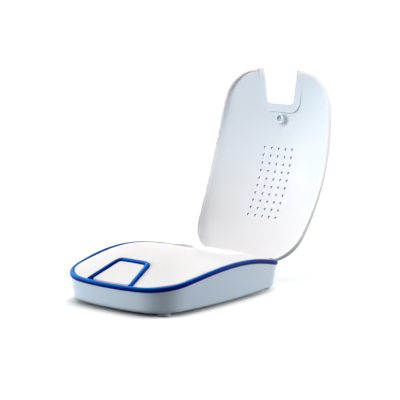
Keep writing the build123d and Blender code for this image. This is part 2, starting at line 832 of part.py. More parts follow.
os.makedirs("parts", exist_ok=True)
for name, shape in parts.items():
    solids = shape if isinstance(shape, list) else shape.solids()
    export_step(Compound(children=[shift * solid for solid in solids]), f"parts/{name}.step")
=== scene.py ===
# %% [markdown]
# # A hearing aid dryer, dressed for its portrait
# The solids of the dryer are already made and already in place: a low case, a blue seal round its rim, a
# start key with a seal of its own, and a lid that leans open on its hinge. This notebook gives them their
# finish. It opens the solids as a fixed frame and never moves them; everything added here is in metres in
# that same frame, so a piece sits where the frame says that its neighbour is.

# %% Open the frame
import json
import math

import bmesh
import bpy
import numpy as np
from mathutils import Matrix, Vector

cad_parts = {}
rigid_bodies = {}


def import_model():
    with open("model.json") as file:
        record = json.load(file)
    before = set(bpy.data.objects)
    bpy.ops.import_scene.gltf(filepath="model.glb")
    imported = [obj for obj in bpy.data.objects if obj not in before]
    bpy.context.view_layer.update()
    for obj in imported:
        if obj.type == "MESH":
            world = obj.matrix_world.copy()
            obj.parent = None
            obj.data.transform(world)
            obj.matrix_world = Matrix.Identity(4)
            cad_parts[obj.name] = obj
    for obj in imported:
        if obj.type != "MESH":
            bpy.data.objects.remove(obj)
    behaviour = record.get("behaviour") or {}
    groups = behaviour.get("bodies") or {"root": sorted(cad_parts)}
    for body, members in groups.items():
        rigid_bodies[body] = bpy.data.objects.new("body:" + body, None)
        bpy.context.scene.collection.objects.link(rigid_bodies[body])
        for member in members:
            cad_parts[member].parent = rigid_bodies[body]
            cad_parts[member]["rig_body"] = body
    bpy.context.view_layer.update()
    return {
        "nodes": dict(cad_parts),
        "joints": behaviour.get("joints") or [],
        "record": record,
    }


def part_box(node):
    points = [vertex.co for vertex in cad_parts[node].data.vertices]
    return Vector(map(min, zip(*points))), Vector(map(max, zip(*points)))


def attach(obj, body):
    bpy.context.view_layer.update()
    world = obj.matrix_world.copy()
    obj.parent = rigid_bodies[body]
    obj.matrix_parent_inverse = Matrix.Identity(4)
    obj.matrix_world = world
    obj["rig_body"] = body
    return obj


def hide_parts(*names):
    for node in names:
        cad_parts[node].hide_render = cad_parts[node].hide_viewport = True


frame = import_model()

MM = 0.001
nodes = frame["nodes"]
slot_of = {part["node"]: part["material_slot"] for part in frame["record"]["subparts"]}

# %% [markdown]
# The hinge is the one place that the case and the lid share, so it makes a good landmark. The case's own
# middle lies a known way in front of it, and the camera was worked out from that middle.

# %% Landmarks
hinge = Vector(next(j["pos_m"] for j in frame["joints"] if j["name"] == "lid_hinge"))
HINGE_TO_MIDDLE = 66.0 * MM
middle_y = hinge.y - HINGE_TO_MIDDLE
print(f"hinge at y {hinge.y / MM:.1f} mm, z {hinge.z / MM:.1f} mm")
print(f"middle of the case at y {middle_y / MM:.1f} mm")

# %% [markdown]
# ## The camera
# A product photograph is taken from well back with a long lens, so that near and far parts keep their true
# proportions. Here the camera stands almost a metre away, a little above the table, to the right of the
# start key. Its direction is built from three plain angles: the way round, the way up and the roll.

# %% Camera
AROUND, ABOVE, ROLL = math.radians(37.282), math.radians(8.786), math.radians(0.953)
DISTANCE = 931.9 * MM
FOCAL_PIXELS, FRAME_PIXELS = 1469.7, 400.0
SENSOR = 36.0
SEEN_UP_TO = 100.0
LOOK_AT = Vector((18.4 * MM, middle_y, 63.6 * MM))

view = Vector((-math.sin(AROUND) * math.cos(ABOVE), math.cos(AROUND) * math.cos(ABOVE), -math.sin(ABOVE)))
level = Vector((math.cos(AROUND), math.sin(AROUND), 0))
upright = level.cross(view)
right = level * math.cos(ROLL) + upright * math.sin(ROLL)
up = upright * math.cos(ROLL) - level * math.sin(ROLL)
lens = bpy.data.cameras.new("camera")
lens.sensor_width = SENSOR
lens.lens = FOCAL_PIXELS / FRAME_PIXELS * SENSOR
lens.clip_end = SEEN_UP_TO
camera = bpy.data.objects.new("camera", lens)
turn = Matrix((right, up, -view)).transposed()
camera.matrix_world = Matrix.Translation(LOOK_AT - view * DISTANCE) @ turn.to_4x4()
bpy.context.scene.collection.objects.link(camera)
bpy.context.scene.camera = camera
print(f"lens {lens.lens:.1f} mm, {DISTANCE:.2f} m away")

# %% [markdown]
# ## The studio
# White plastic on a white ground only shows its shape through soft changes of tone. Soft lamps overhead make
# the top the brightest part. Two low ones from the left graze the front, and one from the right and behind
# grazes the side, so the corner between them falls into a soft shade. The lamps are suns with a wide disc:
# their light is as even as a big studio tent, wherever the dryer is turned. The world is plain white to the
# camera and to reflections, and only a faint source of light.

# %% World
bpy.context.scene.view_settings.view_transform = "Standard"
world = bpy.data.worlds.new("studio")
bpy.context.scene.world = world
world.use_nodes = True
world.node_tree.nodes.clear()


def seen_directly(tree):
    """1 for what the camera sees straight, mirrored or through glass, and 0 for light that scatters."""
    path = tree.nodes.new("ShaderNodeLightPath")
    first = tree.nodes.new("ShaderNodeMath")
    first.operation = "MAXIMUM"
    tree.links.new(path.outputs["Is Camera Ray"], first.inputs[0])
    tree.links.new(path.outputs["Is Glossy Ray"], first.inputs[1])
    both = tree.nodes.new("ShaderNodeMath")
    both.operation = "MAXIMUM"
    tree.links.new(first.outputs[0], both.inputs[0])
    tree.links.new(path.outputs["Is Transmission Ray"], both.inputs[1])
    return both.outputs[0]


AMBIENT = 0.06
AMBIENT_COLOUR = (0.9, 0.96, 1.0)
tree = world.node_tree
glow = tree.nodes.new("ShaderNodeBackground")
glow.inputs["Color"].default_value = (*AMBIENT_COLOUR, 1)
glow.inputs["Strength"].default_value = AMBIENT
white = tree.nodes.new("ShaderNodeBackground")
white.inputs["Color"].default_value = (1, 1, 1, 1)
choice = tree.nodes.new("ShaderNodeMixShader")
tree.links.new(seen_directly(tree), choice.inputs["Fac"])
tree.links.new(glow.outputs[0], choice.inputs[1])
tree.links.new(white.outputs[0], choice.inputs[2])
output = tree.nodes.new("ShaderNodeOutputWorld")
tree.links.new(choice.outputs[0], output.inputs["Surface"])
print("ambient light", AMBIENT)

# %% Lamps
LAMPS = {
    # name: (way round from the right, way up, width of the disc, strength, colour)
    "top_lamp": (0, 90, 50, 0.55, (1.0, 1.0, 1.0)),
    "front_top_lamp": (-90, 70, 30, 0.65, (1.0, 1.0, 1.0)),
    "left_top_lamp": (-132, 30, 24, 1.12, (0.97, 0.99, 1.0)),
    "left_lamp": (-146, 12, 16, 1.55, (0.95, 0.98, 1.0)),
    "right_lamp": (50, 12, 14, 2.2, (0.96, 0.98, 1.0)),
    "back_lamp": (90, 55, 50, 0.9, (1.0, 1.0, 1.0)),
}


def stand_off(lamp, way_round, way_up, aim=Vector(), distance=1.0):
    """Put a lamp in the scene, a distance away from its aim, both angles in degrees."""
    turned, raised = math.radians(way_round), math.radians(way_up)
    flat = math.cos(raised)
    away = Vector((math.cos(turned) * flat, math.sin(turned) * flat, math.sin(raised)))
    obj = bpy.data.objects.new(lamp.name, lamp)
    obj.location = aim + away * distance
    obj.rotation_euler = away.to_track_quat("Z", "Y").to_euler()
    bpy.context.scene.collection.objects.link(obj)
    return obj


for name, (way_round, way_up, disc, strength, colour) in LAMPS.items():
    lamp = bpy.data.lights.new(name, "SUN")
    lamp.energy = strength
    lamp.angle = math.radians(disc)
    lamp.color = colour
    stand_off(lamp, way_round, way_up)

# %% [markdown]
# The suns leave the left half of the leaning lid a little dark. A small lamp with a narrow soft cone stands
# off to the right and lights the upper lid alone; its cone passes well above the case.

# %% A narrow lamp for the lid
LID_LAMP_AIM = Vector((-36.0 * MM, hinge.y + 18.0 * MM, 90.0 * MM))
LID_LAMP_ROUND, LID_LAMP_UP = -22.0, 16.0
LID_LAMP_AWAY = 900.0 * MM
LID_LAMP_POWER, LID_LAMP_CONE, LID_LAMP_RADIUS = 14.0, math.radians(7.5), 30.0 * MM
LID_LAMP_COLOUR = (0.95, 0.98, 1.0)
lamp = bpy.data.lights.new("lid_lamp", "SPOT")
lamp.energy = LID_LAMP_POWER
lamp.spot_size = LID_LAMP_CONE
lamp.spot_blend = 1.0
lamp.shadow_soft_size = LID_LAMP_RADIUS
lamp.color = LID_LAMP_COLOUR
lid_lamp = stand_off(lamp, LID_LAMP_ROUND, LID_LAMP_UP, LID_LAMP_AIM, LID_LAMP_AWAY)
print("lid lamp stands at", [round(value / MM) for value in lid_lamp.location])

# %% Floor
FLOOR_SIZE = 60.0
mesh = bpy.data.meshes.new("floor")
half = FLOOR_SIZE / 2
mesh.from_pydata([(-half, -half, 0), (half, -half, 0), (half, half, 0), (-half, half, 0)], [], [(0, 1, 2, 3)])
floor = bpy.data.objects.new("floor", mesh)
bpy.context.scene.collection.objects.link(floor)
print("floor", FLOOR_SIZE, "m across")

# %% [markdown]
# The floor is white paper that glows a little, so that it reaches pure white a finger's width from the case.
# Close to the case the glow fades out over a rounded oblong, which paints a shadow round the footprint; the
# plain paper there also shows its real dark contact shadow. The oblong is made from the fourth powers of x
# and y, each in units of the case's footprint. This painted shadow is shifted a little towards the camera,
# where it is widest.

# %% Floor paper with a painted shadow
FLOOR_WHITE, FLOOR_LIFT, FLOOR_DIM = 0.55, 0.62, 0.26
FOOTPRINT = (44.5 * MM, 66.0 * MM)
# painted shadow: inside this oblong the glow fades out and darkens the floor round the case
PAINTED_SHADOW_INNER, PAINTED_SHADOW_OUTER = 0.86, 1.12
PAINTED_SHADOW_SHIFT = (-1.6 * MM, -3.6 * MM)
OBLONG_POWER = 4.0
ground = bpy.data.materials.new("floor_paper")
ground.use_nodes = True
tree = ground.node_tree
tree.nodes.clear()


def math_node(tree, operation, *values):
    """A math node whose inputs are numbers or sockets."""
    node = tree.nodes.new("ShaderNodeMath")
    node.operation = operation
    for socket, value in zip(node.inputs, values):
        if isinstance(value, (int, float)):
            socket.default_value = value
        else:
            tree.links.new(value, socket)
    return node.outputs[0]


def oblong(tree, vector, middle, half_sizes):
    """How far out a place is in plan: 0 at the middle of a rounded oblong and 1 on its outline."""
    spot = tree.nodes.new("ShaderNodeSeparateXYZ")
    tree.links.new(vector, spot.inputs[0])
    powers = []
    for axis, centre, half in zip("XY", middle, half_sizes):
        share = math_node(tree, "DIVIDE", math_node(tree, "SUBTRACT", spot.outputs[axis], centre), half)
        powers.append(math_node(tree, "POWER", math_node(tree, "ABSOLUTE", share), OBLONG_POWER))
    return math_node(tree, "POWER", math_node(tree, "ADD", *powers), 1 / OBLONG_POWER)


def ramp(tree, value, low, high, top=1.0):
    """A smooth step from nothing to the top as the value goes from low to high."""
    node = tree.nodes.new("ShaderNodeMapRange")
    node.interpolation_type = "SMOOTHSTEP"
    node.inputs["From Min"].default_value = low
    node.inputs["From Max"].default_value = high
    node.inputs["To Max"].default_value = top
    tree.links.new(value, node.inputs["Value"])
    return node.outputs["Result"]


place = tree.nodes.new("ShaderNodeTexCoord")
painted_shadow_middle = (PAINTED_SHADOW_SHIFT[0], middle_y + PAINTED_SHADOW_SHIFT[1])
outward = oblong(tree, place.outputs["Object"], painted_shadow_middle, FOOTPRINT)
painted_shadow_fade = ramp(tree, outward, PAINTED_SHADOW_INNER, PAINTED_SHADOW_OUTER, FLOOR_LIFT)

paper = tree.nodes.new("ShaderNodeBsdfDiffuse")
paper.inputs["Color"].default_value = (FLOOR_WHITE, FLOOR_WHITE, FLOOR_WHITE, 1)
lift = tree.nodes.new("ShaderNodeEmission")
tree.links.new(painted_shadow_fade, lift.inputs["Strength"])
bright = tree.nodes.new("ShaderNodeAddShader")
tree.links.new(paper.outputs[0], bright.inputs[0])
tree.links.new(lift.outputs[0], bright.inputs[1])
dim = tree.nodes.new("ShaderNodeBsdfDiffuse")
dim.inputs["Color"].default_value = (FLOOR_DIM, FLOOR_DIM, FLOOR_DIM, 1)
choice = tree.nodes.new("ShaderNodeMixShader")
tree.links.new(seen_directly(tree), choice.inputs["Fac"])
tree.links.new(dim.outputs[0], choice.inputs[1])
tree.links.new(bright.outputs[0], choice.inputs[2])
output = tree.nodes.new("ShaderNodeOutputMaterial")
tree.links.new(choice.outputs[0], output.inputs["Surface"])
mesh.materials.append(ground)
print("floor glow fades from", PAINTED_SHADOW_OUTER, "to", PAINTED_SHADOW_INNER, "of the footprint")

# %% [markdown]
# ## Finishes
# Moulded plastic is never one flat colour. Its tone drifts a little over a hand's width, its gloss varies
# where the mould was polished, and close up it has a fine grain. One node group makes all three from noise
# in object coordinates, and every plastic here uses it with its own values.

# %% The moulded surface group
NOISE_LOW, NOISE_HIGH = 0.25, 0.75       # most of the noise lies between these
TONE_SCALE, TONE_DETAIL = 22.0, 2.0
GLOSS_SCALE, GLOSS_DETAIL = 60.0, 3.0
GRAIN_DETAIL = 2.0


def group_with(name, inputs, outputs):
    """An empty shader node group with its named sockets."""
    group = bpy.data.node_groups.new(name, "ShaderNodeTree")
    for way, sockets in (("INPUT", inputs), ("OUTPUT", outputs)):
        for socket, kind in sockets.items():
            group.interface.new_socket(socket, in_out=way, socket_type="NodeSocket" + kind)
    return group, group.nodes.new("NodeGroupInput"), group.nodes.new("NodeGroupOutput")


def noise(group, vector, scale, detail):
    """Noise whose scale is a number or another socket."""
    node = group.nodes.new("ShaderNodeTexNoise")
    node.inputs["Detail"].default_value = detail
    group.links.new(vector, node.inputs["Vector"])
    if isinstance(scale, float):
        node.inputs["Scale"].default_value = scale
    else:
        group.links.new(scale, node.inputs["Scale"])
    return node.outputs["Fac"]


def about_one(group, value, width):
    """Noise spread by a width on both sides of one."""
    node = group.nodes.new("ShaderNodeMapRange")
    for end, operation in (("To Min", "SUBTRACT"), ("To Max", "ADD")):
        limit = group.nodes.new("ShaderNodeMath")
        limit.operation = operation
        limit.inputs[0].default_value = 1.0
        group.links.new(width, limit.inputs[1])
        group.links.new(limit.outputs[0], node.inputs[end])
    group.links.new(value, node.inputs["Value"])
    node.inputs["From Min"].default_value = NOISE_LOW
    node.inputs["From Max"].default_value = NOISE_HIGH
    return node.outputs["Result"]


def scaled(group, colour, factor, result):
    """A colour times a factor, as an output of the group."""
    node = group.nodes.new("ShaderNodeVectorMath")
    node.operation = "SCALE"
    group.links.new(colour, node.inputs[0])
    group.links.new(factor, node.inputs["Scale"])
    group.links.new(node.outputs["Vector"], result)


def times(group, first, second, result):
    """Two values multiplied, as an output of the group."""
    node = group.nodes.new("ShaderNodeMath")
    node.operation = "MULTIPLY"
    group.links.new(first, node.inputs[0])
    group.links.new(second, node.inputs[1])
    group.links.new(node.outputs[0], result)


def moulded_surface_group():
    """The tone, the gloss and the fine grain of moulded plastic."""
    group, given, result = group_with(
        "Moulded Surface",
        {"Tone": "Color", "Tone Drift": "Float", "Gloss": "Float", "Gloss Drift": "Float",
         "Grain Size": "Float"},
        {"Colour": "Color", "Roughness": "Float", "Height": "Float"})
    place = group.nodes.new("ShaderNodeTexCoord").outputs["Object"]
    drift = about_one(group, noise(group, place, TONE_SCALE, TONE_DETAIL), given.outputs["Tone Drift"])
    scaled(group, given.outputs["Tone"], drift, result.inputs["Colour"])
    polish = about_one(group, noise(group, place, GLOSS_SCALE, GLOSS_DETAIL), given.outputs["Gloss Drift"])
    times(group, given.outputs["Gloss"], polish, result.inputs["Roughness"])
    grain = noise(group, place, given.outputs["Grain Size"], GRAIN_DETAIL)
    group.links.new(grain, result.inputs["Height"])
    return group


moulded_surface = moulded_surface_group()
print("group inputs:", [s.name for s in moulded_surface.interface.items_tree if s.in_out == "INPUT"])

# %% [markdown]
# Sheet metal is drawn through rollers, which leave fine scratches along one direction. Noise that is
# stretched along an axis looks just like them, so a second group squeezes the coordinates across the grain
# before it asks for noise. The screws, the catch, the heater plate and the hinge pins use it.

# %% The drawn metal group
SCRATCH_DETAIL = 4.0


def drawn_metal_group():
    """The tone, the gloss and the scratches of drawn metal."""
    group, given, result = group_with(
        "Drawn Metal",
        {"Tone": "Color", "Tone Drift": "Float", "Gloss": "Float", "Gloss Drift": "Float",
         "Scratch Size": "Float", "Stretch": "Vector"},
        {"Colour": "Color", "Roughness": "Float", "Height": "Float"})
    place = group.nodes.new("ShaderNodeTexCoord").outputs["Object"]
    squeezed = group.nodes.new("ShaderNodeVectorMath")
    squeezed.operation = "MULTIPLY"
    group.links.new(place, squeezed.inputs[0])
    group.links.new(given.outputs["Stretch"], squeezed.inputs[1])
    scratch = noise(group, squeezed.outputs["Vector"], given.outputs["Scratch Size"], SCRATCH_DETAIL)
    scaled(group, given.outputs["Tone"], about_one(group, scratch, given.outputs["Tone Drift"]),
           result.inputs["Colour"])
    times(group, given.outputs["Gloss"], about_one(group, scratch, given.outputs["Gloss Drift"]),
          result.inputs["Roughness"])
    group.links.new(scratch, result.inputs["Height"])
    return group


drawn_metal = drawn_metal_group()
print("metal inputs:", [s.name for s in drawn_metal.interface.items_tree if s.in_out == "INPUT"])

# %% [markdown]
# A material puts a group's colour, roughness and height on a Principled shader. What is the same all over a
# surface, such as how metallic it is, stays on the shader's own sockets.

# %% Materials from the groups
GRAIN_DEPTH = 0.1 * MM
FINE_GRAIN, FINE_SCRATCH = 2500.0, 3000.0
SHALLOW, DEEP = 0.05, 0.2                # strength of the grain
PLASTIC_GLOSS_DRIFT = 0.15
METAL_TONE_DRIFT, METAL_GLOSS_DRIFT = 0.06, 0.25
ALONG_Y, ALL_WAYS = (1.0, 0.05, 1.0), (1.0, 1.0, 1.0)


def surfaced(name, group_tree, values, bump_strength, shader_values):
    """A material whose Principled shader is fed by a surface group."""
    material = bpy.data.materials.new(name)
    material.use_nodes = True
    tree = material.node_tree
    shader = tree.nodes["Principled BSDF"]
    group = tree.nodes.new("ShaderNodeGroup")
    group.node_tree = group_tree
    for socket, value in values.items():
        group.inputs[socket].default_value = value
    bump = tree.nodes.new("ShaderNodeBump")
    bump.inputs["Strength"].default_value = bump_strength
    bump.inputs["Distance"].default_value = GRAIN_DEPTH
    tree.links.new(group.outputs["Height"], bump.inputs["Height"])
    tree.links.new(group.outputs["Colour"], shader.inputs["Base Color"])
    tree.links.new(group.outputs["Roughness"], shader.inputs["Roughness"])
    tree.links.new(bump.outputs["Normal"], shader.inputs["Normal"])
    for socket, value in shader_values.items():
        shader.inputs[socket.replace("_", " ")].default_value = value
    return material


def moulded(name, tone, tone_drift, gloss, grain=FINE_GRAIN, grain_depth=SHALLOW, **shader_values):
    """A moulded plastic."""
    values = {"Tone": (*tone, 1), "Tone Drift": tone_drift, "Gloss": gloss,
              "Gloss Drift": PLASTIC_GLOSS_DRIFT, "Grain Size": grain}
    return surfaced(name, moulded_surface, values, grain_depth, shader_values)


def drawn(name, tone, gloss, stretch=ALONG_Y):
    """A drawn metal, with its scratches along one axis or all ways."""
    values = {"Tone": (*tone, 1), "Tone Drift": METAL_TONE_DRIFT, "Gloss": gloss,
              "Gloss Drift": METAL_GLOSS_DRIFT, "Scratch Size": FINE_SCRATCH, "Stretch": stretch}
    return surfaced(name, drawn_metal, values, SHALLOW, {"Metallic": 1.0})


finishes = {
    # name: tone, drift of the tone, roughness; the lid and the seal get their tones, with painted light and
    # shade, below
    "white_plastic": moulded("white_plastic", (0.845, 0.815, 0.805), 0.012, 0.32),
    "lid_plastic": moulded("lid_plastic", (0.81, 0.83, 0.865), 0.012, 0.55),
    # painted shade for the walls of the lid's vents, where light hardly gets in
    "vent_plastic": moulded("vent_plastic", (0.2, 0.3, 0.42), 0.05, 0.6),
    "case_plastic": moulded("case_plastic", (0.64, 0.77, 0.89), 0.02, 0.24),
    "blue_seal": moulded("blue_seal", (0.006, 0.16, 0.72), 0.06, 0.35, Specular_IOR_Level=0.05,
                         Specular_Tint=(0.0, 0.4, 1.0, 1)),
    "foot_rubber": moulded("foot_rubber", (0.5, 0.5, 0.51), 0.05, 0.5, grain=1500.0, grain_depth=DEEP),
    "board": moulded("board", (0.02, 0.11, 0.05), 0.15, 0.35, grain=900.0),
    "black_plastic": moulded("black_plastic", (0.02, 0.02, 0.022), 0.1, 0.45, grain_depth=DEEP),
    "ivory_plastic": moulded("ivory_plastic", (0.72, 0.67, 0.52), 0.03, 0.4),
    "lamp": moulded("lamp", (0.06, 0.5, 0.1), 0.03, 0.15),
    "steel": drawn("steel", (0.6, 0.61, 0.63), 0.3),
    "magnet_plate": drawn("magnet_plate", (0.36, 0.4, 0.45), 0.8, stretch=ALL_WAYS),
    "aluminium": drawn("aluminium", (0.74, 0.75, 0.77), 0.35),
    "film": moulded("film", (0.5, 0.2, 0.03), 0.06, 0.25),
}
for name, obj in nodes.items():
    obj.data.materials.clear()
    obj.data.materials.append(finishes[slot_of[name]])
print("dressed", len(nodes), "nodes in", len(finishes), "finishes")

# %% [markdown]
# The seals are soft and a little see-through, yet their bright side is painted light. Faces that look up and
# to the left are painted a bright blue, as if lit from there, and the underside a deep blue, as painted
# shade. The direction that a face looks in, read as the object's own normal, makes the mask for this painted
# light and
# shade: it chooses between the two blues, and stays with the seal however the dryer is turned.

# %% Painted light and shade on the seal
MIX_FACTOR, MIX_FIRST, MIX_SECOND, MIX_RESULT = 0, 6, 7, 2      # a mix node's sockets for colours


def mixed(tree, factor, first, second):
    """Two colours, or a colour and a socket, mixed by a mask."""
    node = tree.nodes.new("ShaderNodeMix")
    node.data_type = "RGBA"
    tree.links.new(factor, node.inputs[MIX_FACTOR])
    for socket, colour in ((node.inputs[MIX_FIRST], first), (node.inputs[MIX_SECOND], second)):
        if isinstance(colour, tuple):
            socket.default_value = (*colour, 1)
        else:
            tree.links.new(colour, socket)
    return node.outputs[MIX_RESULT]


def retoned(material, socket):
    """Feed a socket to the tone of a material's surface group."""
    tree = material.node_tree
    group = next(node for node in tree.nodes if node.type == "GROUP")
    tree.links.new(socket, group.inputs["Tone"])


# painted light: the bright blue stands for the lit side, the deep blue for painted shade underneath
PAINTED_LIT_BLUE, PAINTED_SHADE_BLUE = (0.006, 0.28, 0.95), (0.0, 0.008, 0.16)
PAINTED_LIT_SIDE = (-0.55, 0.1, 0.83)
PAINTED_SHADE_UP_TO, PAINTED_LIT_FROM = -0.1, 1.0
tree = finishes["blue_seal"].node_tree
painted_light_facing = tree.nodes.new("ShaderNodeVectorMath")
painted_light_facing.operation = "DOT_PRODUCT"
tree.links.new(tree.nodes.new("ShaderNodeTexCoord").outputs["Normal"], painted_light_facing.inputs[0])
painted_light_facing.inputs[1].default_value = PAINTED_LIT_SIDE
painted_lit_share = ramp(tree, painted_light_facing.outputs["Value"], PAINTED_SHADE_UP_TO, PAINTED_LIT_FROM)
retoned(finishes["blue_seal"], mixed(tree, painted_lit_share, PAINTED_SHADE_BLUE, PAINTED_LIT_BLUE))
print("seal turns from", PAINTED_SHADE_BLUE, "to", PAINTED_LIT_BLUE)

# %% [markdown]
# The lid is a thin pale shell, and its colour holds painted light. High up it is painted a cool blue, the
# light that falls on it from the sides, and towards the hinge, over the white deck, a painted warm bounce.
# Its rim is painted paler still, a painted highlight along the thin edge. To find the rim, the coordinates
# are first turned back about the hinge, as if the lid were shut, and the same rounded oblong that fades the
# floor then tells how near the rim a place is.

# %% Painted light on the lid
# painted light: a cool lit top, a warm painted bounce near the hinge and a painted highlight on the rim
PAINTED_COOL_LIGHT, PAINTED_WARM_BOUNCE, PAINTED_RIM_LIGHT = (0.76, 0.84, 0.91), (0.76, 0.735, 0.735), (0.93, 0.92, 0.935)
PAINTED_COOL_FROM, PAINTED_WARM_FROM = 120.0 * MM, 25.0 * MM
LID_HALF = (48.15 * MM, 70.3 * MM)
PAINTED_RIM_FROM, PAINTED_RIM_TO = 0.9, 0.95
swing = next(j["range_deg"] for j in frame["joints"] if j["name"] == "lid_hinge")
open_angle = math.radians(swing[1])
tree = finishes["lid_plastic"].node_tree
place = tree.nodes.new("ShaderNodeTexCoord").outputs["Object"]
height = tree.nodes.new("ShaderNodeSeparateXYZ")
tree.links.new(place, height.inputs[0])
painted_cool_share = tree.nodes.new("ShaderNodeMapRange")
painted_cool_share.inputs["From Min"].default_value = PAINTED_WARM_FROM
painted_cool_share.inputs["From Max"].default_value = PAINTED_COOL_FROM
tree.links.new(height.outputs["Z"], painted_cool_share.inputs["Value"])
shut = tree.nodes.new("ShaderNodeVectorRotate")
shut.rotation_type = "X_AXIS"
shut.inputs["Center"].default_value = hinge
shut.inputs["Angle"].default_value = open_angle
tree.links.new(place, shut.inputs["Vector"])
outward = oblong(tree, shut.outputs["Vector"], (0.0, middle_y), LID_HALF)
rim = ramp(tree, outward, PAINTED_RIM_FROM, PAINTED_RIM_TO)
tone = mixed(tree, painted_cool_share.outputs["Result"], PAINTED_WARM_BOUNCE, PAINTED_COOL_LIGHT)
retoned(finishes["lid_plastic"], mixed(tree, rim, tone, PAINTED_RIM_LIGHT))
print("lid turns from", PAINTED_WARM_BOUNCE, "to", PAINTED_COOL_LIGHT, "and its rim to", PAINTED_RIM_LIGHT)

# %% [markdown]
# ## The moulded shells
# A solid arrives as loose triangles with flat faces. A copy whose doubles are merged can be shaded smooth,
# with its true corners kept sharp, and stands in for the solid. The shells are right as they are, so this is
# all that they need: a subdivided or redrawn shell would only move away from its neighbours.

# %% Merge and smooth a copy
MERGE = 0.002 * MM
SHARP = math.radians(30.0)


def added(name, mesh, body, material_slot, *replaced):
    """Put a finished mesh in the scene: it rides on a body and may stand for nodes of the frame."""
    piece = bpy.data.objects.new(name, mesh)
    bpy.context.scene.collection.objects.link(piece)
    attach(piece, body)
    if replaced:
        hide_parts(*replaced)
    return piece


def merged(node):
    """A node's triangles, joined where their corners meet."""
    bm = bmesh.new()
    bm.from_mesh(nodes[node].data)
    bmesh.ops.remove_doubles(bm, verts=bm.verts, dist=MERGE)
    return bm


def smooth_copy(node, finish=None):
    """A copy shaded smooth, with its corners sharp, that stands for its node."""
    bm = merged(node)
    for face in bm.faces:
        face.smooth = True
    for edge in bm.edges:
        edge.smooth = edge.calc_face_angle(0) < SHARP
    mesh = bpy.data.meshes.new(node + "_skin")
    bm.to_mesh(mesh)
    bm.free()
    mesh.materials.append(finishes[finish or slot_of[node]])
    return added(node + "_skin", mesh, nodes[node]["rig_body"], slot_of[node], node)


lid = smooth_copy("lid_shell", finish="lid_plastic")
for name in ("base_housing", "deck", "drying_tray", "start_key", "fan_frame", "circuit_board",
             "heater_film", "heater_plate", "foot_front_left", "foot_front_right", "foot_rear_left",
             "foot_rear_right", "switch_plunger", "lid_magnet", "catch_plate", "hinge_pin_left",
             "hinge_pin_right", "power_inlet"):
    smooth_copy(name)
print("smoothed the moulded shells")

# %% [markdown]
# The vents in the lid are small deep holes, and light hardly gets into them. Their walls take a painted shade
# of their own, a darker blue-grey that stands in for the shade in the holes. The walls are easy to find once
# the
# lid is turned back as if shut: in the middle of the lid they are the only faces that stand upright.

# %% Painted shade on the walls of the vents
VENTS_HALF_WIDTH = 14.0 * MM
VENTS_FROM, VENTS_TO = -20.0 * MM, 40.0 * MM
UPRIGHT = 0.1
lid.data.materials.append(finishes["vent_plastic"])
shut_turn = Matrix.Rotation(open_angle, 4, "X")
walls = 0
for face in lid.data.polygons:
    centre = shut_turn @ (face.center - hinge) + hinge
    level = abs((shut_turn.to_3x3() @ face.normal).z)
    along = centre.y - middle_y
    if abs(centre.x) < VENTS_HALF_WIDTH and VENTS_FROM < along < VENTS_TO and level < UPRIGHT:
        face.material_index = 1
        walls += 1
print(walls, "faces in the walls of the vents")

# %% [markdown]
# ## The seals
# Both seals are soft round beads that follow a line in space: one runs all round the rim, and one makes a U
# round the start key. A path with a profile swept along it is the natural way to make a bead, and Geometry
# Nodes do it with the sizes as named inputs, so one tree serves both seals. The path itself is read from the
# solids: a half-plane turns about a pivot, and the middle of each slice through the solid is a point of it.

# %% Slice a seal by half-planes
def slice_middles(node, pivot, angles, full_width):
    """The middles of the slices through a node, with those that an end cuts short left out."""
    mesh = nodes[node].data
    corners = np.empty(len(mesh.vertices) * 3)
    mesh.vertices.foreach_get("co", corners)
    corners = corners.reshape(-1, 3)
    edges = np.empty(len(mesh.edges) * 2, dtype=int)
    mesh.edges.foreach_get("vertices", edges)
    edges = edges.reshape(-1, 2)
    middles = []
    for angle in angles:
        along = np.array([math.cos(angle), math.sin(angle)])
        across = np.array([-along[1], along[0]])
        side = (corners[:, :2] - pivot) @ across
        cut = edges[side[edges[:, 0]] * side[edges[:, 1]] < 0]
        share = side[cut[:, 0]] / (side[cut[:, 0]] - side[cut[:, 1]])
        points = corners[cut[:, 0]] + (corners[cut[:, 1]] - corners[cut[:, 0]]) * share[:, None]
        reach = (points[:, :2] - pivot) @ along
        points, reach = points[reach > 0], reach[reach > 0]
        if len(reach) and np.ptp(points[:, 2]) > full_width:
            middle = pivot + along * (reach.min() + reach.max()) / 2
            middles.append((*middle, (points[:, 2].min() + points[:, 2].max()) / 2))
    return middles


def lengthened(points, first, last):
    """The path run straight on by a length at each end."""
    ends = []
    for near, next_one, length in ((points[0], points[2], first), (points[-1], points[-3], last)):
        step = (np.array(near) - next_one) / np.linalg.norm(np.array(near) - next_one)
        ends.append(tuple(np.array(near) + step * length))
    return [ends[0], *points, ends[1]]


SLICE_STEP = math.radians(1.5)
SEAL_HEIGHT = 3.0 * MM
FULL_SLICE = 0.85 * SEAL_HEIGHT                  # a slice that no end cuts short is at least this high
RIM_FIRST, RIM_LAST = math.radians(-260), math.radians(80)      # either side of the hinge
KEY_PIVOT = 2.5 * MM                             # behind the front of the key's seal
seal_low, seal_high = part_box("perimeter_seal")
key_low, key_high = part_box("key_seal")
rim_path = slice_middles("perimeter_seal", np.array([0, middle_y]),
                         np.arange(RIM_FIRST, RIM_LAST, SLICE_STEP), FULL_SLICE)
key_path = slice_middles("key_seal", np.array([0, key_low.y + KEY_PIVOT]),
                         np.arange(0, math.pi, SLICE_STEP), FULL_SLICE)
print(len(rim_path), "points round the rim,", len(key_path), "round the key")
print(f"the rim's seal is {(seal_high.x - seal_low.x) / MM:.1f} mm wide, "
      f"the key's {(key_high.x - key_low.x) / MM:.1f} mm")

